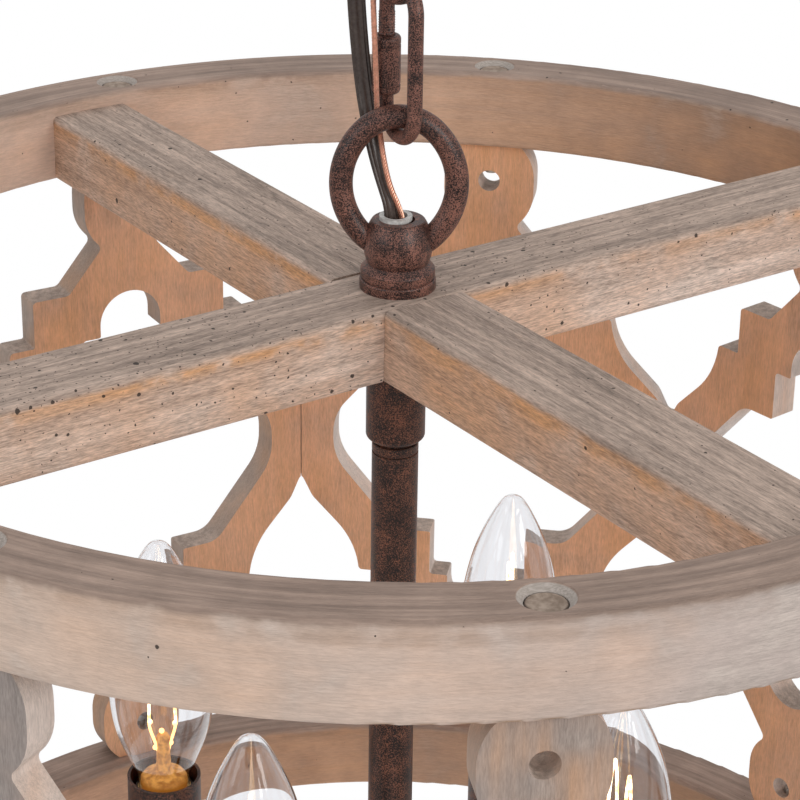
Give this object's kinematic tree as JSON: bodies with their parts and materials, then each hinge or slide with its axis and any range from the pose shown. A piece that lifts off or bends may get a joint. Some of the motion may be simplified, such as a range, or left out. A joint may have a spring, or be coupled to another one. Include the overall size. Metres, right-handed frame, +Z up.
{
  "type": "drum chandelier",
  "caption": "Open wooden drum chandelier of fretwork boards between two hoops, hung by a loop and chain, with candle lamps inside.",
  "frame": {"origin": "middle of the canopy's ceiling face, on the drum's axis", "axes": "+Z up along the hanging axis, +X to the viewer's right, +Y away from the viewer"},
  "size_m": [0.4286, 0.4307, 0.4795],
  "materials": {
    "weathered_wood": "pale weathered wood, grey-washed with worm specks",
    "beam_wood": "weathered brown wood, grey-washed on top with worm specks",
    "carved_wood": "sawn fretwork board, orange-brown with grey-washed edges",
    "plain_wood": "bare beech dowel",
    "zinc_steel": "zinc-plated steel",
    "speckled_rust": "dark brown paint with fine copper-red speckle",
    "dark_plastic": "black moulded lampholder",
    "clear_glass": "clear torpedo glass",
    "brass_cap": "bright brass screw cap with wire filament",
    "clear_plastic": "milky clear bushing",
    "brown_cord": "ribbed dark brown flat cord",
    "copper_strand": "bare copper strands in a clear jacket"
  },
  "bodies": {
    "ceiling_fitting": {"canopy": "speckled_rust", "canopy_bushing": "clear_plastic", "canopy_loop": "speckled_rust", "canopy_locknut": "zinc_steel", "crossbar": "zinc_steel", "supply_cord_upper": "brown_cord", "ground_wire_upper": "copper_strand"},
    "chain_link": {"chain_link": "speckled_rust", "supply_cord_middle": "brown_cord", "ground_wire_middle": "copper_strand"},
    "quick_link": {"quick_link": "speckled_rust"},
    "quick_link_nut": {"quick_link_nut": "speckled_rust"},
    "drum": {"top_hoop": "weathered_wood", "bottom_hoop": "weathered_wood", "cross_beam_a": "beam_wood", "cross_beam_b": "beam_wood", "beam_dowels": "plain_wood", "hoop_buttons": "weathered_wood", "board_screws": "zinc_steel", "hanging_loop": "speckled_rust", "loop_bushing": "clear_plastic", "threaded_rod": "zinc_steel", "stem_collar": "speckled_rust", "stem_tube": "speckled_rust", "lamp_hub": "speckled_rust", "hub_cap": "speckled_rust", "hub_nut": "zinc_steel", "finial": "speckled_rust", "supply_cord_lower": "brown_cord", "ground_wire_lower": "copper_strand", "fret_board_1": "carved_wood", "fret_board_2": "carved_wood", "fret_board_3": "carved_wood", "fret_board_4": "carved_wood", "fret_board_5": "carved_wood", "fret_board_6": "carved_wood", "fret_board_7": "carved_wood", "fret_board_8": "carved_wood", "fret_board_9": "carved_wood", "lamp_arm_1": "speckled_rust", "lamp_arm_2": "speckled_rust", "lamp_arm_3": "speckled_rust", "lamp_arm_4": "speckled_rust", "candle_sleeve_1": "speckled_rust", "candle_sleeve_2": "speckled_rust", "candle_sleeve_3": "speckled_rust", "candle_sleeve_4": "speckled_rust", "lampholder_1": "dark_plastic", "lampholder_2": "dark_plastic", "lampholder_3": "dark_plastic", "lampholder_4": "dark_plastic"},
    "bulb_1": {"bulb_glass_1": "clear_glass", "bulb_base_1": "brass_cap"},
    "bulb_2": {"bulb_glass_2": "clear_glass", "bulb_base_2": "brass_cap"},
    "bulb_3": {"bulb_glass_3": "clear_glass", "bulb_base_3": "brass_cap"},
    "bulb_4": {"bulb_glass_4": "clear_glass", "bulb_base_4": "brass_cap"}
  },
  "joints": [
    {"name": "chain_link_swing", "type": "hinge", "parent": "ceiling_fitting", "child": "chain_link", "pos_m": [0, 0, -0.056], "axis": [0.4802, -0.8771, 0], "range_deg": [-20, 20], "deforming": ["supply_cord_upper", "ground_wire_upper"]},
    {"name": "quick_link_swing", "type": "hinge", "parent": "chain_link", "child": "quick_link", "pos_m": [0, 0, -0.09195], "axis": [0.8771, 0.4802, 0], "range_deg": [-20, 20], "deforming": ["supply_cord_middle", "ground_wire_middle"]},
    {"name": "drum_swing", "type": "hinge", "parent": "quick_link", "child": "drum", "pos_m": [0, 0, -0.13365], "axis": [0.4802, -0.8771, 0], "range_deg": [-20, 20], "deforming": ["supply_cord_lower", "ground_wire_lower"]},
    {"name": "quick_link_nut_travel", "type": "slide", "parent": "quick_link", "child": "quick_link_nut", "axis": [0, 0, 1], "range_m": [0, 0.008]},
    {"name": "bulb_1_lift", "type": "slide", "parent": "drum", "child": "bulb_1", "axis": [0, 0, 1], "range_m": [0, 0.03]},
    {"name": "bulb_2_lift", "type": "slide", "parent": "drum", "child": "bulb_2", "axis": [0, 0, 1], "range_m": [0, 0.03]},
    {"name": "bulb_3_lift", "type": "slide", "parent": "drum", "child": "bulb_3", "axis": [0, 0, 1], "range_m": [0, 0.03]},
    {"name": "bulb_4_lift", "type": "slide", "parent": "drum", "child": "bulb_4", "axis": [0, 0, 1], "range_m": [0, 0.03]}
  ]
}
